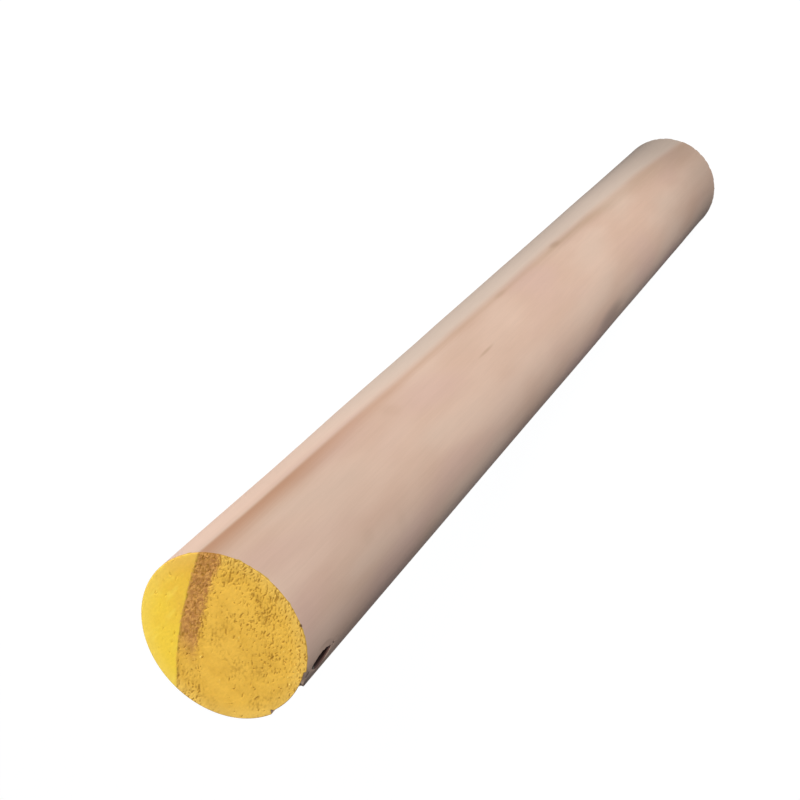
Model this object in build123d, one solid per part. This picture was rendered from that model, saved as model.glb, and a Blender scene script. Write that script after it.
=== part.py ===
from build123d import *
from math import cos, radians, sin
import os

# Wooden dowel rod, turned from one length of timber: a plain round shank with two square sawn ends.
# It stands on its bare end. The origin is the centre of that end, and +Z runs up the shank to the
# painted end. Azimuths go anticlockwise from +X, seen from above the painted end.
# The paint is a coat a few hundredths of a millimetre thick, so it has no solid of its own.

# Driving dimensions, in millimetres and degrees
rod_diameter = 31.75
rod_length = 304.8
edge_break = 0.2

# Bark pocket: an open hollow in the side, a few millimetres below the painted end. Its mouth is a
# long pointed lens along the grain. It narrows inwards, and its floor lies towards one side, so one
# cheek drops in steeply and the other slopes out.
pocket_azimuth = 203.5
pocket_below_end = 6.4
pocket_length = 8.2
pocket_width = 3.3
pocket_depth = 2.6
floor_length = 4.6
floor_width = 0.9
floor_shift = 0.75
mouth_proud = 0.2

# Flake: a thin shaving broken off the painted end's rim, round an eighth of the girth. It tore in a
# little deeper at the end than at its foot, where it stops at a low ledge.
flake_from = 163.0
flake_to = 208.0
flake_depth = 0.36
flake_ledge = 0.3
flake_height = 1.4

# Nick: a small bite out of the same rim, where the flake tore away from it
nick_azimuth = 165.0
nick_depth = 0.45
nick_width = 0.8
nick_height = 0.9

rod_radius = rod_diameter / 2


def around(azimuth, radius, height):
    """Returns a place on the rod whose local X points straight out and whose local Z runs up the rod."""
    angle = radians(azimuth)
    return Location((radius * cos(angle), radius * sin(angle), height), (0, 0, azimuth))


def shank():
    """Returns the turned rod, with the arris of each sawn end just taken off."""
    blank = Cylinder(rod_radius, rod_length, align=(Align.CENTER, Align.CENTER, Align.MIN))
    rims = blank.edges().filter_by(GeomType.CIRCLE)
    return chamfer(rims, edge_break)


def lens(length, width, outwards, sideways):
    """Returns a pointed lens that lies along the grain, facing outwards."""
    tip = length / 2
    near_side = ThreePointArc((0, -tip), (width / 2, 0), (0, tip))
    far_side = ThreePointArc((0, tip), (-width / 2, 0), (0, -tip))
    outline = Plane.YZ * make_face(near_side + far_side)
    place = around(pocket_azimuth, rod_radius + outwards, rod_length - pocket_below_end)
    return place * Pos(0, sideways, 0) * outline


def bark_pocket():
    """Returns the pocket's hollow: a long lens at the mouth drawn in to a small one at the floor."""
    mouth = lens(pocket_length, pocket_width, mouth_proud, 0)
    floor = lens(floor_length, floor_width, -pocket_depth, floor_shift)
    return loft([floor, mouth])


def flake():
    """Returns the shaving that broke off the rim, down to the ledge at its foot."""
    section = make_face(
        Polyline(
            (rod_radius - flake_depth, rod_length),
            (rod_radius - flake_ledge, rod_length - flake_height),
            (rod_radius + flake_depth, rod_length - flake_height),
            (rod_radius + flake_depth, rod_length),
            close=True,
        )
    )
    shaving = revolve(Plane.XZ * section, Axis.Z, revolution_arc=flake_to - flake_from)
    return Rot(0, 0, flake_from) * shaving


def nick():
    """Returns the bite: a three-sided wedge, point inwards, that runs out down the side."""
    bite = make_face(
        Polyline(
            (-nick_depth, 0),
            (nick_depth, -nick_width),
            (nick_depth, nick_width),
            close=True,
        )
    )
    top = around(nick_azimuth, rod_radius, rod_length) * bite
    foot = around(nick_azimuth, rod_radius + nick_depth, rod_length - nick_height) * bite
    return loft([foot, top])


def dowel_rod():
    """Returns the finished rod."""
    return shank() - bark_pocket() - flake() - nick()


os.makedirs("parts", exist_ok=True)
rod = dowel_rod()
rod.label = "dowel_rod"
export_step(rod, "parts/dowel_rod.step")
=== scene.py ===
import bmesh
import bpy
import math
import random
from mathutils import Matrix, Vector, kdtree, noise


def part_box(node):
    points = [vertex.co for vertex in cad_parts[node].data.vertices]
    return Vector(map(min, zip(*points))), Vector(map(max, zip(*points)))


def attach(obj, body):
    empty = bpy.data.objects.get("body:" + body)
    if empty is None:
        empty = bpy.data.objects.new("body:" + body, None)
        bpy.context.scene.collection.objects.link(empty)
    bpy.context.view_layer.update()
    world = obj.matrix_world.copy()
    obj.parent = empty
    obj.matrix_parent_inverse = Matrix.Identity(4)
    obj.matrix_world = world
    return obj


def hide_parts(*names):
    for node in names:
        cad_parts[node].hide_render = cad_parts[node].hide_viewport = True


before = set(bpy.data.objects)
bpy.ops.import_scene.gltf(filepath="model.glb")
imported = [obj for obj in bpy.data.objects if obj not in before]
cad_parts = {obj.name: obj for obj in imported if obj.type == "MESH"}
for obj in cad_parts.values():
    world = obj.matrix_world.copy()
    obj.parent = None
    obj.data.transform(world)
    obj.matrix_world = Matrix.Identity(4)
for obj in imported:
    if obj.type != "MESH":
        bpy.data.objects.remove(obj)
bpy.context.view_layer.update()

# A wooden dowel rod that stands on its bare end, with the painted end up. Azimuths go anticlockwise
# from +X, seen from above, and "below" says how far under the painted end something lies. The rod's
# sizes are in mm and angles in degrees, unless a note says otherwise

mm = 0.001
low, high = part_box("dowel_rod")
rodRadius = (high.x - low.x) / 2
rodLength = high.z
radiusMm = rodRadius / mm
lengthMm = rodLength / mm


def hexColour(text):
    # sRGB hex to linear RGBA
    def linear(part):
        value = int(part, 16) / 255
        return value / 12.92 if value <= 0.04045 else ((value + 0.055) / 1.055) ** 2.4
    return (linear(text[0:2]), linear(text[2:4]), linear(text[4:6]), 1.0)


def smooth(value, start, end):
    # 0 at start, 1 at end, with an easy curve between them
    share = min(max((value - start) / (end - start), 0.0), 1.0)
    return share * share * (3 - 2 * share)


def reachOf(place):
    # How far a place lies from the rod's middle line
    return math.hypot(place.x, place.y)


def onSide(azimuth, below):
    # A place on the rod's side
    angle = math.radians(azimuth)
    return Vector((radiusMm * math.cos(angle), radiusMm * math.sin(angle), lengthMm - below))


def selectNothing():
    bpy.ops.object.select_all(action="DESELECT")


def addNode(nodes, kind, settings={}):
    # Adds a shader node. A setting is one of its properties, or what one of its inputs is given: a value,
    # a socket, or a node, which stands for its first output
    node = nodes.nodes.new("ShaderNode" + kind)
    for name, value in settings.items():
        if isinstance(value, bpy.types.Node):
            value = value.outputs[0]
        if isinstance(value, bpy.types.NodeSocket):
            nodes.links.new(value, node.inputs[name])
        elif isinstance(name, str) and hasattr(node, name):
            setattr(node, name, value)
        else:
            node.inputs[name].default_value = value
    return node


# Camera
camera = {
    "place": (0.0, -187.77, 512.86),
    "turn": (-23.061, 22.65, -140.518),
    "lens": 73.41,
    "sensor": 36.0,
    "nearest": 10.0,
}


def makeCamera():
    place = [c * mm for c in camera["place"]]
    turn = [math.radians(a) for a in camera["turn"]]
    bpy.ops.object.camera_add(location=place, rotation=turn)
    view = bpy.context.object
    view.name = "photoView"
    view.data.lens = camera["lens"]
    view.data.sensor_width = camera["sensor"]
    view.data.clip_start = camera["nearest"] * mm
    bpy.context.scene.camera = view
    print("camera placed")


# Lamps, with distance and size in m. All face a place partway up the rod, and at a level of 1 a white
# surface that faces the lamp shows as white. The sky lights the rod a little from all round
lamps = [
    {"name": "keyLight", "azimuth": 277, "height": 42, "distance": 3.0, "size": 1.2, "level": 1.35},
    {"name": "rimLight", "azimuth": 20, "height": 37.2, "distance": 0.251, "size": 0.2, "level": 0.72},
    {"name": "backLight", "azimuth": 107, "height": 5, "distance": 3.0, "size": 0.4, "level": 0.52},
]
lampAim = Vector((0, 0, rodLength * 0.6))
sky = {"colour": "80C0FF", "level": 0.09, "shown": "FFFFFF"}


def makeLamp(lamp):
    azimuth, height = math.radians(lamp["azimuth"]), math.radians(lamp["height"])
    flat = math.cos(height)
    away = Vector((flat * math.cos(azimuth), flat * math.sin(azimuth), math.sin(height)))
    turn = away.to_track_quat("Z", "Y").to_euler()
    bpy.ops.object.light_add(type="AREA", location=lampAim + away * lamp["distance"], rotation=turn)
    source = bpy.context.object
    source.name = lamp["name"]
    source.data.size = lamp["size"]
    source.data.energy = lamp["level"] * (math.pi * lamp["distance"]) ** 2


def seenDirectly(nodes):
    # 1 for what the camera sees, also in a reflection or through glass
    path = addNode(nodes, "LightPath").outputs
    seen = path["Is Camera Ray"]
    for ray in ("Is Glossy Ray", "Is Transmission Ray"):
        seen = addNode(nodes, "Math", {"operation": "MAXIMUM", 0: seen, 1: path[ray]})
    return seen


def makeLight():
    for lamp in lamps:
        makeLamp(lamp)
    world = bpy.data.worlds.new("studio")
    bpy.context.scene.world = world
    world.use_nodes = True
    nodes = world.node_tree
    nodes.nodes.clear()
    dim = addNode(nodes, "Background", {"Color": hexColour(sky["colour"]), "Strength": sky["level"]})
    white = addNode(nodes, "Background", {"Color": hexColour(sky["shown"]), "Strength": 1.0})
    both = addNode(nodes, "MixShader", {0: seenDirectly(nodes), 1: dim, 2: white})
    addNode(nodes, "OutputWorld", {"Surface": both})
    bpy.context.scene.view_settings.view_transform = "Standard"
    print("light placed")


# Floor
floor = {
    "size": 8.0,         # in m
    "drop": 0.05,        # how far it lies under the rod's foot, so that the two don't share a plane
    "glow": 0.91,        # what the camera sees of it with no light, so that it shows white when lit
    "shade": "606060",   # what the light on it adds, and what a shadow takes away
    "bounce": "3C4A5C",  # what it throws back on the rod
}


def makeFloor():
    selectNothing()
    bpy.ops.mesh.primitive_plane_add(size=floor["size"], location=(0, 0, -floor["drop"] * mm))
    plane = bpy.context.object
    plane.name = "floor"
    paper, nodes = startMaterial("whitePaper")
    glow = addNode(nodes, "Emission", {"Color": hexColour("FFFFFF"), "Strength": floor["glow"]})
    shade = addNode(nodes, "BsdfDiffuse", {"Color": hexColour(floor["shade"])})
    shown = addNode(nodes, "AddShader", {0: glow, 1: shade})
    bounce = addNode(nodes, "BsdfDiffuse", {"Color": hexColour(floor["bounce"])})
    both = addNode(nodes, "MixShader", {0: seenDirectly(nodes), 1: bounce, 2: shown})
    addNode(nodes, "OutputMaterial", {"Surface": both})
    plane.data.materials.append(paper)
    print("floor laid")


# The rod's blank: a disc of small cells for the painted end, drawn down into the side
blank = {
    "acrossX": 240,              # cells of the painted end's grid, fine enough for torn fibres
    "acrossY": 160,
    "edgeBreak": 0.2 * mm,
    "rimHeight": 1.5 * mm,       # the stretch that the flake broke off
    "rimRows": 9,
    "collarHeight": 10.9 * mm,   # the stretch that holds the bark pocket
    "collarRows": 30,
    "shaftRows": 20,
    "footHeight": 2.4 * mm,
    "footRows": 8,
    "footInset": 2 * mm,
}


def selectWhere(piece, kind, rule):
    # Edit mode: picks the vertices, edges or faces that fit the rule, and nothing else
    bpy.ops.mesh.select_mode(type=kind)
    bpy.ops.mesh.select_all(action="DESELECT")
    shape = bmesh.from_edit_mesh(piece.data)
    for part in {"VERT": shape.verts, "EDGE": shape.edges, "FACE": shape.faces}[kind]:
        if rule(part):
            part.select_set(True)
    bmesh.update_edit_mesh(piece.data)


def growBand(piece, height, rows):
    # Draws the open loop down by one band and cuts the band into rows
    bpy.ops.mesh.extrude_region()
    bpy.ops.transform.translate(value=(0, 0, -height))
    foot = min(v.co.z for v in bmesh.from_edit_mesh(piece.data).verts)
    slack = height * 0.1

    def upright(edge):
        first, second = (v.co.z for v in edge.verts)
        return abs(first - second) > height - slack and min(first, second) < foot + slack
    selectWhere(piece, "EDGE", upright)
    bpy.ops.mesh.subdivide(number_cuts=rows - 1)
    selectWhere(piece, "EDGE", lambda edge: edge.is_boundary)


def makeBlank():
    selectNothing()
    brink = blank["edgeBreak"]
    bpy.ops.mesh.primitive_circle_add(
        vertices=2 * (blank["acrossX"] + blank["acrossY"]),
        radius=rodRadius - brink,
        location=(0, 0, rodLength),
    )
    piece = bpy.context.object
    piece.name = "dowelRod"
    bpy.ops.object.transform_apply(location=True, rotation=True, scale=True)
    bpy.ops.object.mode_set(mode="EDIT")
    bpy.ops.mesh.select_all(action="SELECT")

    # the grid starts from its active corner, here the one that sets it square to X and Y
    shape = bmesh.from_edit_mesh(piece.data)
    shape.verts.ensure_lookup_table()
    shape.select_history.add(shape.verts[blank["acrossX"] // 2 + blank["acrossY"]])
    bmesh.update_edit_mesh(piece.data)
    bpy.ops.mesh.fill_grid(span=blank["acrossX"], offset=0)
    selectWhere(piece, "EDGE", lambda edge: edge.is_boundary)

    # the arris, then the side in four bands
    wider = rodRadius / (rodRadius - brink)
    bpy.ops.mesh.extrude_region()
    bpy.ops.transform.resize(value=(wider, wider, 1), center_override=(0, 0, rodLength))
    bpy.ops.transform.translate(value=(0, 0, -brink))
    shaftHeight = rodLength - blank["rimHeight"] - blank["collarHeight"] - blank["footHeight"] - 2 * brink
    growBand(piece, blank["rimHeight"], blank["rimRows"])
    growBand(piece, blank["collarHeight"], blank["collarRows"])
    growBand(piece, shaftHeight, blank["shaftRows"])
    growBand(piece, blank["footHeight"], blank["footRows"])

    # the bare end
    bpy.ops.mesh.extrude_region()
    bpy.ops.transform.resize(value=(1 / wider, 1 / wider, 1), center_override=(0, 0, 0))
    bpy.ops.transform.translate(value=(0, 0, -brink))
    bpy.ops.mesh.edge_face_add()
    bpy.ops.mesh.inset(thickness=blank["footInset"])
    bpy.ops.mesh.select_all(action="SELECT")
    bpy.ops.mesh.normals_make_consistent(inside=False)
    bpy.ops.object.mode_set(mode="OBJECT")
    print("blank made,", len(piece.data.vertices), "vertices")
    return piece


def displace(piece, name, rule, depth, direction="NORMAL", texture=None, grain=(1, 1, 1), lean=0.0):
    # Moves each vertex by its rule's share of depth. A texture's cells are as large as grain
    leastShare = 0.001
    group = piece.vertex_groups.new(name=name)
    for vertex in piece.data.vertices:
        share = rule(vertex.co / mm)
        if share > leastShare:
            group.add([vertex.index], min(share, 1.0), "REPLACE")
    modifier = piece.modifiers.new(name, "DISPLACE")
    modifier.vertex_group = name
    modifier.strength = depth * mm
    modifier.mid_level = 0
    modifier.direction = direction
    if texture:
        bpy.ops.object.empty_add(rotation=(0, 0, math.radians(lean)))
        stretch = bpy.context.object
        stretch.scale = [size * mm for size in grain]
        bpy.context.view_layer.update()
        modifier.texture = texture
        modifier.texture_coords = "OBJECT"
        modifier.texture_coords_object = stretch
    selectNothing()
    piece.select_set(True)
    bpy.context.view_layer.objects.active = piece
    bpy.ops.object.modifier_apply(modifier=name)
    if texture:
        bpy.data.objects.remove(stretch)
    piece.vertex_groups.remove(piece.vertex_groups[name])


def reliefTexture(name, start, end):
    # Soft noise cut off below start, so that only its peaks are left
    texture = bpy.data.textures.new(name, "CLOUDS")
    texture.noise_scale = 1.0
    texture.noise_depth = 1
    texture.use_color_ramp = True
    for stop, position, level in zip(texture.color_ramp.elements, (start, end), (0, 1)):
        stop.position = position
        stop.color = (level, level, level, 1)
    return texture


# Damage near the painted end, as in the solid
pocket = {
    "azimuth": 205.0, "below": 6.6, "length": 7.8, "depth": 2.6,
    "steepSide": 1.2, "slopingSide": 2.1,     # how far each cheek's lip lies from the line between the tips
    "floor": 0.4,                             # where the floor lies on the steep side: 1 is its lip
    "tips": 2.5,                              # a higher value makes the hollow deeper near its tips
    "skin": 0.5,                              # the outer layer of the rod that it is pushed in from
    "rough": 0.5, "roughGrain": (0.7, 0.7, 1.6),
    "fineRough": 0.22, "fineGrain": (0.25, 0.25, 0.9),
    # where the bark is rough: from how deep, how soon in full, how far down and how far to each side
    "wall": {"from": 0.25, "rise": 3, "down": (2.0, 11.0), "halfWidth": 2.5},
}
flake = {
    "from": 163.0, "to": 208.0, "fadeIn": 1.0, "fadeOut": 2.0,
    "depth": 0.36, "deepest": 0.9, "deepestAt": 1.2,
    "foot": [(163.0, 9.0), (170.0, 8.2), (175.0, 7.2), (180.0, 5.7), (185.0, 4.2), (190.5, 2.3),
             (197.0, 0.6), (208.0, 0.5)],     # azimuth, and how far down it tore
    "ledge": 0.9,                             # the share of that at which it starts to run out
    "behindRim": (0.2, 1.5),                  # how far in the face moves with the rim: in full, and at all
}
nick = {"azimuth": 165.0, "depth": 0.45, "halfWidth": 0.45, "height": 0.9, "behindRim": (0.2, 1.2)}
specks = {
    "depth": 0.15, "core": 0.1,
    "spots": [
        {"azimuth": 201.2, "below": 0.9, "size": 0.35},
        {"azimuth": 201.4, "below": 5.6, "size": 0.3},
        {"azimuth": 207.1, "below": 11.3, "size": 0.3},
        {"azimuth": 204.4, "below": 11.3, "size": 0.35},
    ],
}


def around(place, azimuth):
    # Distance along the girth from an azimuth, positive anticlockwise
    turn = math.degrees(math.atan2(place.y, place.x)) - azimuth
    return math.radians((turn + 180) % 360 - 180) * radiusMm


def pocketShare(place):
    along = (lengthMm - place.z - pocket["below"]) / (pocket["length"] / 2)
    if abs(along) >= 1 or reachOf(place) < radiusMm - pocket["skin"]:
        return 0.0
    across = around(place, pocket["azimuth"])
    across /= (pocket["steepSide"] if across > 0 else pocket["slopingSide"]) * (1 - along ** 2)
    if abs(across) >= 1:
        return 0.0
    lip = pocket["floor"]
    slope = (across + 1) / (lip + 1) if across < lip else (1 - across) / (1 - lip)
    return slope * (1 - abs(along) ** pocket["tips"])


def pocketWallShare(place):
    # 1 on the pocket's walls and floor, after the pocket is sunk
    wall = pocket["wall"]
    highest, lowest = wall["down"]
    aside = abs(around(place, pocket["azimuth"]))
    if not highest <= lengthMm - place.z <= lowest or aside >= wall["halfWidth"]:
        return 0.0
    sunk = max(0.0, radiusMm - reachOf(place) - wall["from"]) / pocket["depth"]
    return min(1.0, wall["rise"] * sunk)


def behindRim(place, cut):
    # A cut moves the rim, and less and less of the face behind it
    return 1 - smooth(radiusMm - reachOf(place), *cut["behindRim"])


def footOf(turn):
    # How far down the flake tore at an azimuth
    foot = flake["foot"]
    for (start, startFoot), (end, endFoot) in zip(foot, foot[1:]):
        if start <= turn <= end:
            return startFoot + (endFoot - startFoot) * (turn - start) / (end - start)
    return 0.0


def flakeShare(place):
    below = lengthMm - place.z
    turn = math.degrees(math.atan2(place.y, place.x)) % 360
    foot = footOf(turn)
    if foot == 0:
        return 0.0
    deep = flake["depth"] + (flake["deepest"] - flake["depth"]) * min(below / flake["deepestAt"], 1.0)
    deep *= smooth(turn, flake["from"], flake["from"] + flake["fadeIn"])
    deep *= 1 - smooth(turn, flake["to"] - flake["fadeOut"], flake["to"])
    deep *= 1 - smooth(below, foot * flake["ledge"], foot)
    return deep / flake["deepest"] * behindRim(place, flake)


def nickShare(place):
    below = lengthMm - place.z
    side = abs(around(place, nick["azimuth"]))
    if below > nick["height"] or side > nick["halfWidth"]:
        return 0.0
    return (1 - side / nick["halfWidth"]) * (1 - below / nick["height"]) * behindRim(place, nick)


def speckShare(place):
    share = 0.0
    for spot in specks["spots"]:
        apart = (place - onSide(spot["azimuth"], spot["below"])).length
        share = max(share, 1 - smooth(apart, specks["core"], spot["size"]))
    return share


# The side: broad shallow waves and small dents from handling, which fade out towards both ends. The bare
# end's rim has lost chips to the saw
side = {
    "waves": 0.1, "wavesGrain": (22, 22, 40),
    "dents": 0.03, "dentsGrain": (6, 6, 20),
    "fadeTop": (0.3, 6), "fadeFoot": (0.3, 3),
    "chips": 0.4, "chipsGrain": (1.6, 1.6, 1.6), "chipsFrom": 0.1, "chipsFade": (0.2, 1.6),
}


def sideShare(place):
    return smooth(lengthMm - place.z, *side["fadeTop"]) * smooth(place.z, *side["fadeFoot"])


def chipShare(place):
    return 1 - smooth(place.z, *side["chipsFade"]) if place.z > side["chipsFrom"] else 0.0


# The tree that the rod was cut from. Its heartwood's edge crosses the painted end as a crisp arc, and
# runs down the side as a brown streak
tree = {
    "pith": (-75.57, -39.3, 0.0),
    "heartRadius": 93.13,
    # how far the heartwood draws in, by share of the rod's length from the painted end
    "taper": [(0.0, 0.0), (0.13, 0.75), (0.27, 1.7), (0.4, 2.1), (0.6, 2.9), (0.7, 3.9), (0.85, 5.0),
              (0.95, 7.0), (1.0, 7.9)],
    "wander": {"grain": (7, 7, 40), "detail": 1.0},
    "wanderReach": 0.8,
}

# Torn fibres of the painted end. Each is a short dash where the saw plucked a fibre out, with a low
# ridge of paint beside it. The saw tore most on the side towards the camera
fibres = {
    "seed": 11, "tries": 6000,
    "cell": (0.45, 0.7),                      # at most one tear starts in a cell of this size
    "lean": 25.0, "leanSpread": 11.0,
    "halfWidth": (0.08, 0.13), "halfLength": (0.2, 0.75), "longHalfWidth": 0.1495,
    "pitDepth": (0.05, 0.15), "pitWall": 0.7,  # a lower value makes a pit's walls steeper
    "ridgeHeight": 0.06, "aside": (0.28, 0.1),  # where a ridge lies from its pit
    "search": 1.0,                            # a tear farther away than this doesn't touch a place
    "base": 0.06,                             # how far the face is lowered, to make room for the ridges
    "deepest": 0.3,
    "inSapwood": 0.35,                        # the share of this relief that the sapwood has
    "fine": 0.06, "fineGrain": (0.24, 0.75, 1.0), "fineLean": 20,
    "swell": 0.06, "swellGrain": (3.5, 5.0, 1.0),
    "faceDepth": 0.5, "rimGap": 0.1,          # where the fine relief stops, down and towards the rim
}
# How thickly the torn fibres lie in each kind of wood, 0 to 1: evenly, more in patches, and more upwards
# in the picture. Heights and shifts are shares of the rod's radius
tearZones = {
    "patchScale": 0.3, "patchSlice": 3.7,
    "sapwood": {"even": 0.02, "patchy": 0.02},
    "band": {"width": 4.6, "even": 0.15, "patchy": 0.2, "upwards": 0.5, "rise": (-0.5, 0.2)},
    "heartwood": {"even": 0.035, "patchy": 0.07, "upwards": 0.55, "rise": (-0.05, 0.6), "rightShift": 0.1},
    "calm": {"share": 0.6, "from": (4.8, 5.6), "to": (8.0, 10.0), "top": (0.5, 0.8)},
}
# The longest tears: place on the painted end, half length, depth and lean
longTears = [
    {"place": (13.77, -1.76), "halfLength": 0.5, "pitDepth": 0.16, "lean": 40},
    {"place": (6.35, 7.03), "halfLength": 0.7, "pitDepth": 0.15, "lean": 22},
    {"place": (5.64, 8.82), "halfLength": 0.5, "pitDepth": 0.14, "lean": 22},
    {"place": (-8.37, -4.48), "halfLength": 0.7, "pitDepth": 0.15, "lean": 5},
    {"place": (-8.62, -5.5), "halfLength": 0.45, "pitDepth": 0.13, "lean": 0},
    {"place": (-9.11, -2.77), "halfLength": 0.4, "pitDepth": 0.11, "lean": -50},
    {"place": (1.19, -11.22), "halfLength": 0.55, "pitDepth": 0.15, "lean": 25},
    {"place": (0.99, -10.4), "halfLength": 0.35, "pitDepth": 0.15, "lean": 5},
    {"place": (0.3, -6.3), "halfLength": 0.5, "pitDepth": 0.13, "lean": 10},
    {"place": (2.23, -14.26), "halfLength": 0.6, "pitDepth": 0.13, "lean": 15},
    {"place": (1.68, -12.78), "halfLength": 0.5, "pitDepth": 0.12, "lean": 10},
    {"place": (-1.87, -14.06), "halfLength": 0.8, "pitDepth": 0.13, "lean": 15},
    {"place": (-0.49, 9.33), "halfLength": 0.3, "pitDepth": 0.12, "lean": 45},
]


def heartDepth(place):
    # How far inside the heartwood a place of the painted end lies
    return tree["heartRadius"] - math.hypot(place.x - tree["pith"][0], place.y - tree["pith"][1])


def fibreShare(place):
    # How thickly the torn fibres lie, 0 to 1
    inside = heartDepth(place)
    right, up = -place.x / radiusMm, -place.y / radiusMm
    scale = tearZones["patchScale"]
    patch = noise.noise(Vector((place.x * scale, place.y * scale, tearZones["patchSlice"])))
    if inside < 0:
        zone = tearZones["sapwood"]
        return zone["even"] + zone["patchy"] * max(patch, 0)
    if inside < tearZones["band"]["width"]:
        zone = tearZones["band"]
        return zone["even"] + zone["upwards"] * smooth(up, *zone["rise"]) + zone["patchy"] * patch
    zone, calm = tearZones["heartwood"], tearZones["calm"]
    share = zone["even"] + zone["patchy"] * patch
    share += zone["upwards"] * smooth(up + zone["rightShift"] * right, *zone["rise"])
    calmed = smooth(inside, *calm["from"]) * (1 - smooth(inside, *calm["to"]))
    calmed *= 1 - smooth(up, *calm["top"])
    return share * (1 - calm["share"] * calmed)


def makeTears():
    # Scatters the torn fibres over the painted end, most of them short, and adds the longest
    dice = random.Random(fibres["seed"])
    tears, taken = [], set()
    shortest, longest = fibres["halfLength"]
    for _ in range(fibres["tries"]):
        angle, reach = dice.uniform(0, 2 * math.pi), radiusMm * math.sqrt(dice.random())
        place = Vector((reach * math.cos(angle), reach * math.sin(angle), 0.0))
        growth = dice.random() ** 2
        tear = {
            "place": place,
            "lean": math.radians(dice.gauss(fibres["lean"], fibres["leanSpread"])),
            "halfWidth": dice.uniform(*fibres["halfWidth"]),
            "halfLength": shortest + (longest - shortest) * growth,
            "pitDepth": dice.uniform(*fibres["pitDepth"]),
            "side": dice.choice((-1, 1, 1)),
        }
        cell = tuple(round(place[axis] / fibres["cell"][axis]) for axis in (0, 1))
        if dice.random() < fibreShare(place) and cell not in taken:
            tears.append(tear)
            taken.add(cell)
    for tear in longTears:
        tears.append({
            "place": Vector((*tear["place"], 0.0)),
            "lean": math.radians(tear["lean"]),
            "halfWidth": fibres["longHalfWidth"],
            "halfLength": tear["halfLength"],
            "pitDepth": tear["pitDepth"],
            "side": 1,
        })
    print(len(tears), "torn fibres")
    return tears


def dash(away, tear):
    # 1 in the middle of a dash and 0 outside it
    along = away.y * math.cos(tear["lean"]) - away.x * math.sin(tear["lean"])
    across = away.x * math.cos(tear["lean"]) + away.y * math.sin(tear["lean"])
    return max(0.0, 1 - (along / tear["halfLength"]) ** 2 - (across / tear["halfWidth"]) ** 2)


def reliefShare(place):
    return fibres["inSapwood"] if heartDepth(place) < 0 else 1.0


def tearRule():
    # Gives the rule by which the painted end is lowered, pitted and ridged
    tears = makeTears()
    nearby = kdtree.KDTree(len(tears))
    for index, tear in enumerate(tears):
        nearby.insert(tear["place"], index)
    nearby.balance()
    justUnder = lengthMm - 0.001

    def tearShare(place):
        if place.z <= justUnder:
            return 0.0
        flat = Vector((place.x, place.y, 0.0))
        pit, ridge = 0.0, 0.0
        for _, index, _ in nearby.find_range(flat, fibres["search"]):
            tear = tears[index]
            away = flat - tear["place"]
            pit = max(pit, tear["pitDepth"] * dash(away, tear) ** fibres["pitWall"])
            aside = Vector((fibres["aside"][0] * tear["side"], fibres["aside"][1], 0))
            ridge = max(ridge, fibres["ridgeHeight"] * dash(away - aside, tear))
        return (fibres["base"] * reliefShare(place) + pit - (ridge if pit == 0 else 0)) / fibres["deepest"]
    return tearShare


def fineShare(place):
    # The painted end, after the tears
    onFace = place.z > lengthMm - fibres["faceDepth"] and reachOf(place) < radiusMm - fibres["rimGap"]
    return reliefShare(place) if onFace else 0.0


def shapeDowel(piece):
    soft = reliefTexture("softNoise", 0.25, 0.75)
    chips = reliefTexture("sawChips", 0.5, 0.62)
    displace(piece, "waves", sideShare, -side["waves"], texture=soft, grain=side["wavesGrain"])
    displace(piece, "dents", sideShare, -side["dents"], texture=soft, grain=side["dentsGrain"])
    displace(piece, "pocket", pocketShare, -pocket["depth"])
    displace(piece, "pocketWall", pocketWallShare, pocket["rough"],
             texture=soft, grain=pocket["roughGrain"])
    displace(piece, "pocketFibres", pocketWallShare, pocket["fineRough"],
             texture=soft, grain=pocket["fineGrain"])
    displace(piece, "specks", speckShare, -specks["depth"])
    displace(piece, "flake", flakeShare, flake["deepest"], direction="X")
    displace(piece, "nick", nickShare, nick["depth"], direction="X")
    displace(piece, "sawChips", chipShare, side["chips"], direction="Z",
             texture=chips, grain=side["chipsGrain"])
    displace(piece, "tears", tearRule(), -fibres["deepest"], direction="Z")
    displace(piece, "swell", fineShare, -fibres["swell"], direction="Z",
             texture=soft, grain=fibres["swellGrain"])
    displace(piece, "fine", fineShare, -fibres["fine"], direction="Z",
             texture=soft, grain=fibres["fineGrain"], lean=fibres["fineLean"])
    print("dowel shaped")


# Materials. Each is a list of coats, and a coat is a list of layers, laid in order. A layer is a colour or
# an earlier coat, and shows where its fields let it. A field is a number that varies over the rod, such as
# a distance or a noise. It is eased from a start to an end, which gives 0 to 1 or the two values named
def startMaterial(name):
    material = bpy.data.materials.new(name)
    material.use_nodes = True
    nodes = material.node_tree
    nodes.nodes.clear()
    return material, nodes


def addPattern(nodes, fields, name, pattern):
    # Noise with cells as large as the pattern's grain
    shrunk = addNode(nodes, "VectorMath", {"operation": "DIVIDE", 0: fields["place"], 1: pattern["grain"]})
    fields[name] = addNode(nodes, "TexNoise", {
        "Vector": shrunk, "Scale": 1.0,
        "Detail": pattern["detail"], "Roughness": pattern.get("roughness", 0.5),
    })


def wander(nodes, field, pattern, reach):
    # Moves a field up and down with a pattern, by at most half of reach each way
    centred = addNode(nodes, "Math", {"operation": "SUBTRACT", 0: pattern, 1: 0.5})
    step = addNode(nodes, "Math", {"operation": "MULTIPLY", 0: centred, 1: reach})
    return addNode(nodes, "Math", {"operation": "ADD", 0: field, 1: step})


def alongRod(nodes, fields, stops):
    # A value that follows a list of (share of the rod's length, value)
    most = max(value for _, value in stops)
    ramp = addNode(nodes, "ValToRGB", {0: fields["down"]})
    for index, (share, value) in enumerate(stops):
        stop = ramp.color_ramp.elements[index] if index < 2 else ramp.color_ramp.elements.new(share)
        stop.position = share
        stop.color = (value / most, value / most, value / most, 1)
    return addNode(nodes, "Math", {"operation": "MULTIPLY", 0: ramp, 1: most})


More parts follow.
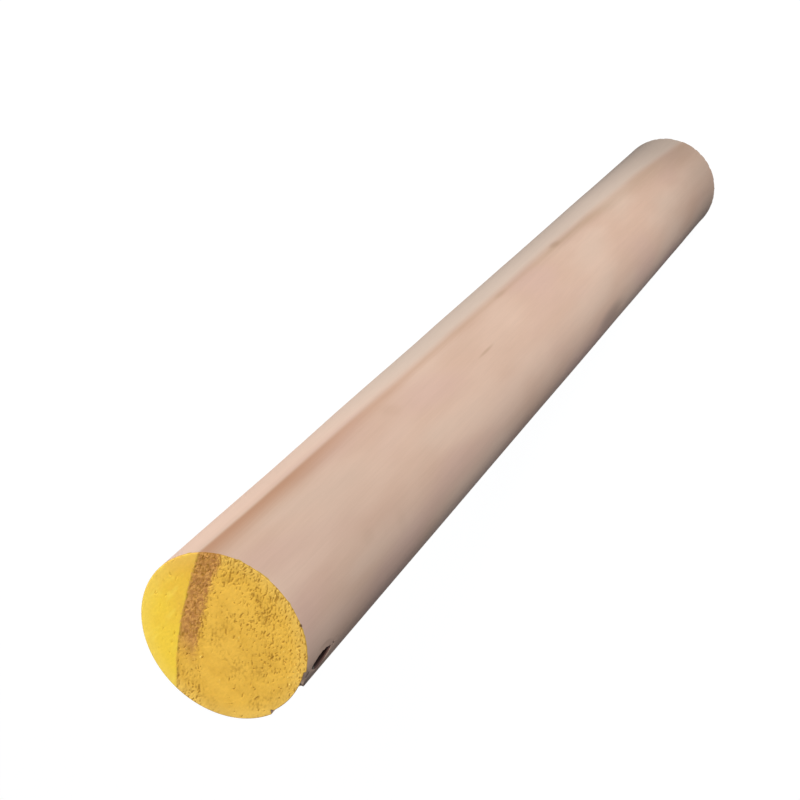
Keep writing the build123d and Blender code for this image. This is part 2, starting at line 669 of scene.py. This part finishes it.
def spotField(nodes, fields, spot, size):
    # 0 at the place on the side that a piece of damage or a mark has, and 1 at its size from there
    middle = onSide(spot["azimuth"], spot["below"])
    apart = addNode(nodes, "VectorMath", {"operation": "SUBTRACT", 0: fields["place"], 1: middle})
    scaled = addNode(nodes, "VectorMath", {"operation": "DIVIDE", 0: apart, 1: size})
    return addNode(nodes, "VectorMath", {"operation": "LENGTH", 0: scaled}).outputs["Value"]


def startFields(nodes, patterns):
    coordinates = addNode(nodes, "TexCoord").outputs["Object"]
    place = addNode(nodes, "VectorMath", {"operation": "SCALE", 0: coordinates, "Scale": 1 / mm})
    split = addNode(nodes, "SeparateXYZ", {0: place}).outputs
    flat = addNode(nodes, "VectorMath", {"operation": "MULTIPLY", 0: place, 1: (1, 1, 0)})
    fields = {
        "place": place,
        "below": addNode(nodes, "Math", {"operation": "SUBTRACT", 0: lengthMm, 1: split["Z"]}),
        "up": addNode(nodes, "Math", {"operation": "MULTIPLY", 0: split["Y"], 1: -1.0}),
        "reach": addNode(nodes, "VectorMath", {"operation": "LENGTH", 0: flat}).outputs["Value"],
        # how far down the rod a place is, by share of its length
        "down": addNode(nodes, "MapRange", {"Value": split["Z"], "From Min": lengthMm, "From Max": 0.0}),
    }
    # how deep inside the heartwood's edge a place lies
    fromPith = addNode(nodes, "VectorMath", {"operation": "DISTANCE", 0: flat, 1: tree["pith"]})
    inside = addNode(nodes, "Math", {
        "operation": "SUBTRACT", 0: tree["heartRadius"], 1: fromPith.outputs["Value"],
    })
    taper = alongRod(nodes, fields, tree["taper"])
    inside = addNode(nodes, "Math", {"operation": "SUBTRACT", 0: inside, 1: taper})
    addPattern(nodes, fields, "edgeWander", tree["wander"])
    fields["inside"] = wander(nodes, inside, fields["edgeWander"], tree["wanderReach"])
    for name, pattern in patterns.items():
        addPattern(nodes, fields, name, pattern)
    return fields


def easedProduct(nodes, fields, rules, level=1.0):
    # Multiplies a level by each rule's field, eased or, where the rule names no start, as it is
    product = level
    for name, *span in rules:
        value = fields[name]
        if span:
            start, end, first, last = (*span, 0.0, 1.0)[:4]
            value = addNode(nodes, "MapRange", {
                "interpolation_type": "SMOOTHSTEP", "Value": value,
                "From Min": start, "From Max": end, "To Min": first, "To Max": last,
            })
        product = addNode(nodes, "Math", {"operation": "MULTIPLY", 0: product, 1: value})
    return product


def layerShare(nodes, fields, layer):
    # How much of a layer shows. A mark fades out around its own place
    if "azimuth" in layer:
        size = (layer["wide"], layer["wide"], layer["long"])
        fields["fromMark"] = spotField(nodes, fields, layer, size)
        return easedProduct(nodes, fields, [("fromMark", markCore, 1.0, layer["level"], 0.0)])
    return easedProduct(nodes, fields, layer.get("where", []), layer.get("level", 1.0))


def layCoats(nodes, fields, coats):
    # Lays the coats one after another and gives the last one's colour. A layer with "times" is a value
    # that the layers under it are multiplied by
    done = {}
    for name, layers in coats.items():
        colour = None
        for layer in layers:
            if "times" in layer:
                blend, shade = "MULTIPLY", easedProduct(nodes, fields, layer["times"])
            else:
                blend, shade = "MIX", done.get(layer["colour"]) or hexColour(layer["colour"])
            if colour is None:
                colour = shade
                continue
            mix = addNode(nodes, "Mix", {
                "data_type": "RGBA", "blend_type": blend,
                0: layerShare(nodes, fields, layer), 6: colour, 7: shade,
            })
            colour = mix.outputs[2]
        done[name] = colour
    return colour


def finishMaterial(nodes, look, colour, height):
    bump = addNode(nodes, "Bump", {**look["bump"], "Height": height})
    shader = addNode(nodes, "BsdfPrincipled", {**look["surface"], "Base Color": colour, "Normal": bump})
    addNode(nodes, "OutputMaterial", {"Surface": shader})


# Small marks on the side. Each is full in its core and fades out towards its width and length. Those on
# the painted rim show in both materials
markCore = 0.2   # by share of the mark's size
rimFlecks = [
    {"azimuth": 240.0, "below": 0.2, "wide": 0.45, "long": 0.45, "colour": "4A2E10", "level": 0.95},
]
flecks = [
    {"azimuth": 280.3, "below": 109.0, "wide": 0.5, "long": 6.5, "colour": "A88468", "level": 0.35},
    {"azimuth": 310.0, "below": 140.5, "wide": 1.2, "long": 5.0, "colour": "B8967C", "level": 0.25},
    {"azimuth": 310.0, "below": 182.9, "wide": 1.5, "long": 5.0, "colour": "AC8A70", "level": 0.35},
    {"azimuth": 213.0, "below": 184.0, "wide": 3.6, "long": 16.0, "colour": "7E6E66", "level": 0.35},
    {"azimuth": 248.0, "below": 30.0, "wide": 1.8, "long": 3.5, "colour": "B0927C", "level": 0.15},
    {"azimuth": 236.0, "below": 43.0, "wide": 3.5, "long": 3.0, "colour": "B0927C", "level": 0.1},
    {"azimuth": 300.0, "below": 67.0, "wide": 3.0, "long": 4.0, "colour": "B58F76", "level": 0.15},
    {"azimuth": 200.8, "below": 4.6, "wide": 0.5, "long": 0.8, "colour": "8F9082", "level": 0.8},
    # painted shade beside the pocket's sloping lip
    {"azimuth": 196.5, "below": 7.0, "wide": 1.3, "long": 4.5, "colour": "5A4640", "level": 0.55},
    {"azimuth": 203.0, "below": 0.3, "wide": 2.6, "long": 1.3, "colour": "5E5048", "level": 0.85},
    {"azimuth": 191.0, "below": 2.0, "wide": 3.6, "long": 3.6, "colour": "5E5048", "level": 0.8},
    {"azimuth": 204.0, "below": 1.5, "wide": 0.7, "long": 0.6, "colour": "3C322E", "level": 0.7},
    {"azimuth": 205.5, "below": 11.3, "wide": 0.7, "long": 0.5, "colour": "4E403E", "level": 0.8},
    {"azimuth": 165.0, "below": 0.4, "wide": 1.0, "long": 0.9, "colour": "4A3828", "level": 0.9},
]

# Yellow end-sealing paint, brushed thinly over end grain: dull, and the heartwood shows through it. Its
# grit and mottling are drawn coarser than the real ones, so that they show
paint = {
    "name": "yellowEndPaint",
    "surface": {"Roughness": 0.75, "Specular IOR Level": 0.2},
    "bump": {"Strength": 0.35, "Distance": 0.05 * mm},
    "patterns": {
        "cloudy": {"grain": (5, 5, 5), "detail": 3.0},
        "mottle": {"grain": (0.45, 0.8, 1.0), "detail": 3.0, "roughness": 0.65},
        "brushed": {"grain": (1.2, 4.5, 1.0), "detail": 2.0},
        "grit": {"grain": (0.14, 0.28, 1.0), "detail": 2.0},
    },
    "heightReach": 22.0, "edgeReach": 2.2, "raggedReach": 2.4,   # how far the patterns move these fields
    "bandWidth": (6.0, 13.0, 3.7, 4.2),                          # at the lower height, and at the upper one
    "coats": {
        "lemon": [
            {"colour": "DFBA38"},
            {"colour": "D3A238", "where": [("height", -9.0, 9.0)]},
            {"colour": "E6CC52", "where": [("brushed", 0.52, 0.72, 0.0, 0.3)]},
        ],
        "golden": [
            {"colour": "DAAA40"},
            {"colour": "D0A039", "where": [("cloudy", 0.4, 0.65)]},
        ],
        "brown": [
            {"colour": "8F5A2B"},
            {"colour": "C69049", "where": [("mottle", 0.4, 0.64)]},
            {"colour": "B27D42", "level": 0.42},
        ],
        "paint": [
            # sapwood takes the paint lemon, heartwood takes it golden, and it thins out towards the rim
            {"colour": "lemon"},
            {"colour": "golden", "where": [("edge", -0.35, 0.3)]},
            {"colour": "E4CB7A", "where": [("reach", radiusMm - 3.5, radiusMm, 0.0, 0.18)]},
            # the brown band behind the heartwood's edge, and the broken line along that edge
            {"colour": "brown", "level": 0.95,
             "where": [("edge", -0.2, 0.3), ("ragged", -0.7, 0.7, 1.0, 0.0), ("up", -10.5, -4.5)]},
            {"colour": "9C7430",
             "where": [("inside", -0.2, 0.05), ("inside", 0.1, 0.5, 1.0, 0.0),
                       ("mottle", 0.38, 0.58, 0.8, 0.05)]},
            # torn fibres hold less paint, and their pits are darkened further as painted shade
            {"colour": "8F6418", "where": [("below", 0.12, 0.21, 0.0, 0.7)]},
            # a painted highlight lightens the ridges beside the pits
            {"colour": "F6D66C", "where": [("below", 0.015, 0.06, 0.85, 0.0), ("inside", 0.0, 0.6)]},
            {"times": [("mottle", 0.3, 0.7, 0.96, 1.04)]},
            *rimFlecks,
        ],
    },
}


def makePaint():
    material, nodes = startMaterial(paint["name"])
    fields = startFields(nodes, paint["patterns"])
    fields["height"] = wander(nodes, fields["up"], fields["cloudy"], paint["heightReach"])
    fields["edge"] = wander(nodes, fields["inside"], fields["mottle"], paint["edgeReach"])

    # the band's far side is ragged
    ragged = wander(nodes, fields["inside"], fields["mottle"], paint["raggedReach"])
    ragged = wander(nodes, ragged, fields["cloudy"], paint["raggedReach"])
    width = easedProduct(nodes, fields, [("up", *paint["bandWidth"])])
    fields["ragged"] = addNode(nodes, "Math", {"operation": "SUBTRACT", 0: ragged, 1: width})
    finishMaterial(nodes, paint, layCoats(nodes, fields, paint["coats"]), fields["grit"])
    return material


# Planed pale hardwood, unfinished: pinkish tan and dull, with fine lines along the grain. Its hairs are
# drawn coarser than the real pores, so that they show. Each list of pairs runs down the rod by share of
# its length
wood = {
    "name": "planedHardwood",
    "surface": {"Roughness": 0.85, "Specular IOR Level": 0.1},
    "bump": {"Strength": 0.15, "Distance": 0.06 * mm},
    "hairRelief": 0.5,
    "patterns": {
        "cloudy": {"grain": (12, 12, 45), "detail": 2.0},
        "lines": {"grain": (0.9, 0.9, 40), "detail": 3.0},
        "hairs": {"grain": (0.22, 0.22, 6), "detail": 2.0},
        "hue": {"grain": (16, 16, 45), "detail": 1.0},
        "lapEdge": {"grain": (2.2, 2.2, 2.2), "detail": 2.0},
    },
    "streakLevel": [(0.0, 1.0), (0.1, 0.95), (0.17, 0.65), (0.23, 0.45), (0.4, 0.4), (0.55, 0.3), (0.6, 0.6),
                    (0.68, 0.55), (0.76, 0.25), (1.0, 0.3)],
    "streakEdge": [(0.0, 0.4), (0.12, 0.5), (0.25, 0.9), (0.4, 1.3), (1.0, 1.6)],
    "streakWidth": [(0.0, 5.0), (0.12, 4.8), (0.2, 3.6), (0.28, 2.4), (0.55, 2.6), (0.62, 3.0), (0.7, 3.0),
                    (0.8, 6.0), (1.0, 9.0)],
    "streakFray": 0.9,
    # darker near the painted end, and painted shade towards the bare end, where less light reaches
    "toneAndShade": [(0.0, 0.74), (0.1, 0.74), (0.17, 0.8), (0.25, 0.84), (0.35, 0.87), (0.5, 0.92), (0.65, 0.93),
             (0.75, 0.96), (0.85, 0.87), (0.95, 0.71), (1.0, 0.66)],
    "nearPocket": (4.5, 4.5, 6.0), "nearLip": (2.9, 2.9, 5.0),
    "lap": (0.4, 0.65, 0.1, 0.45),       # the last two are how far down the paint laps over the arris
    "coats": {
        "sap": [
            {"colour": "FAD6BE"},
            {"colour": "E9D0BB", "where": [("down", 0.05, 0.35)]},
        ],
        "stain": [
            {"colour": "CE9E7E"},
            {"colour": "BC9F80", "where": [("down", 0.2, 0.8)]},
        ],
        "wood": [
            {"colour": "EBC9B1"},
            {"colour": "E3BEA5", "where": [("cloudy", 0.35, 0.65)]},
            {"colour": "E3BDAC", "where": [("hue", 0.5, 0.7, 0.0, 0.5)]},
            {"colour": "DFC3AC", "where": [("hue", 0.3, 0.5, 0.4, 0.0)]},
            {"colour": "sap", "where": [("inside", -2.0, 0.8, 1.0, 0.0)]},
            # the heartwood's streak: reddish and crisp near the painted end, broad and olive further down
            {"colour": "stain",
             "where": [("front", -1.0, 1.0), ("depth", 0.1, 1.15, 1.0, 0.0), ("streakLevel",)]},
            # the multiplier along the rod: painted shade towards the bare end
            {"times": [("toneAndShade",)]},
            {"times": [("lines", 0.3, 0.7, 0.988, 1.01), ("hairs", 0.3, 0.7, 0.985, 1.01)]},
            # bark lines the pocket, below the rod's round
            {"colour": "5C423C", "where": [("nearLip", 0.85, 1.0, 1.0, 0.0), ("sunk", 0.02, 0.09)]},
            # painted shade: deeper in the pocket the colour darkens to near black
            {"colour": "180704", "where": [("nearPocket", 0.8, 1.0, 1.0, 0.0), ("sunk", 0.14, 0.4)]},
            *flecks,
            # the paint laps over the arris here and there
            {"colour": "C2A04A", "where": [("underLap", -0.06, 0.06, 1.0, 0.0)]},
            *rimFlecks,
        ],
    },
}


def makeWood():
    material, nodes = startMaterial(wood["name"])
    fields = startFields(nodes, wood["patterns"])
    fields["toneAndShade"] = alongRod(nodes, fields, wood["toneAndShade"])
    fields["sunk"] = addNode(nodes, "Math", {"operation": "SUBTRACT", 0: radiusMm, 1: fields["reach"]})
    for name in ("nearPocket", "nearLip"):
        fields[name] = spotField(nodes, fields, pocket, wood[name])

    # the streak: how deep in it a place lies, by share of its width, and how far in front of its edge
    frayed = wander(nodes, fields["inside"], fields["lines"], wood["streakFray"])
    width = alongRod(nodes, fields, wood["streakWidth"])
    softness = alongRod(nodes, fields, wood["streakEdge"])
    fields["depth"] = addNode(nodes, "Math", {"operation": "DIVIDE", 0: frayed, 1: width})
    fields["front"] = addNode(nodes, "Math", {"operation": "DIVIDE", 0: fields["inside"], 1: softness})
    fields["streakLevel"] = alongRod(nodes, fields, wood["streakLevel"])

    lap = easedProduct(nodes, fields, [("lapEdge", *wood["lap"])])
    fields["underLap"] = addNode(nodes, "Math", {"operation": "SUBTRACT", 0: fields["below"], 1: lap})
    relief = addNode(nodes, "Math", {
        "operation": "MULTIPLY_ADD", 0: fields["hairs"], 1: wood["hairRelief"], 2: fields["lines"],
    })
    finishMaterial(nodes, wood, layCoats(nodes, fields, wood["coats"]), relief)
    return material


# Sawn end grain, bare: the rings show, and the saw has left fine ridges
sawn = {
    "name": "sawnEndGrain",
    "surface": {"Roughness": 0.75, "IOR": 1.45},
    "bump": {"Strength": 0.5, "Distance": 0.1 * mm},
    "ring": 2.6,
    "patterns": {
        "pores": {"grain": (0.3, 0.3, 0.3), "detail": 2.0},
        "ridges": {"grain": (0.35, 12, 1), "detail": 1.0},
    },
    "coats": {
        "endGrain": [
            {"colour": "D2B394"},
            {"colour": "B9957A", "where": [("rings", 0.1, 1.0, 0.0, 0.6)]},
            {"colour": "9C7355", "where": [("inside", -0.2, 0.2), ("inside", 3.0, 8.0, 0.6, 0.0)]},
            {"times": [("pores", 0.3, 0.7, 0.9, 1.05)]},
        ],
    },
}


def makeSawnEnd():
    material, nodes = startMaterial(sawn["name"])
    fields = startFields(nodes, sawn["patterns"])
    turns = addNode(nodes, "Math", {"operation": "DIVIDE", 0: fields["inside"], 1: sawn["ring"]})
    fields["rings"] = addNode(nodes, "Math", {"operation": "FRACT", 0: turns})
    relief = addNode(nodes, "Math", {"operation": "ADD", 0: fields["ridges"], 1: fields["pores"]})
    finishMaterial(nodes, sawn, layCoats(nodes, fields, sawn["coats"]), relief)
    return material


# Which faces are painted and which are sawn. The flake's ledge lies deeper than the deepest painted pit,
# and a face that leans outwards or lies at the rod's side is bare
finish = {
    "paintDepth": 0.44 * mm, "paintGap": 0.02 * mm, "paintTilt": 0.05,
    "sawnHeight": 0.1 * mm, "sawnTilt": -0.3,
    "sharpAngle": 40,
}


def isPainted(face):
    middle = face.calc_center_median()
    onFace = middle.z > rodLength - finish["paintDepth"] and middle.xy.length < rodRadius - finish["paintGap"]
    return onFace and face.normal.z > finish["paintTilt"]


def isSawn(face):
    return face.calc_center_median().z < finish["sawnHeight"] and face.normal.z < finish["sawnTilt"]


def dressDowel(piece):
    for material in (makeWood(), makePaint(), makeSawnEnd()):
        piece.data.materials.append(material)
    bpy.ops.object.mode_set(mode="EDIT")
    for slot, rule in ((1, isPainted), (2, isSawn)):
        selectWhere(piece, "FACE", rule)
        piece.active_material_index = slot
        bpy.ops.object.material_slot_assign()
    bpy.ops.object.mode_set(mode="OBJECT")
    bpy.ops.object.shade_smooth_by_angle(angle=math.radians(finish["sharpAngle"]))
    print("dowel dressed")


makeCamera()
makeLight()
makeFloor()
dowel = makeBlank()
shapeDowel(dowel)
dressDowel(dowel)
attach(dowel, "root")
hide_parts("dowel_rod")
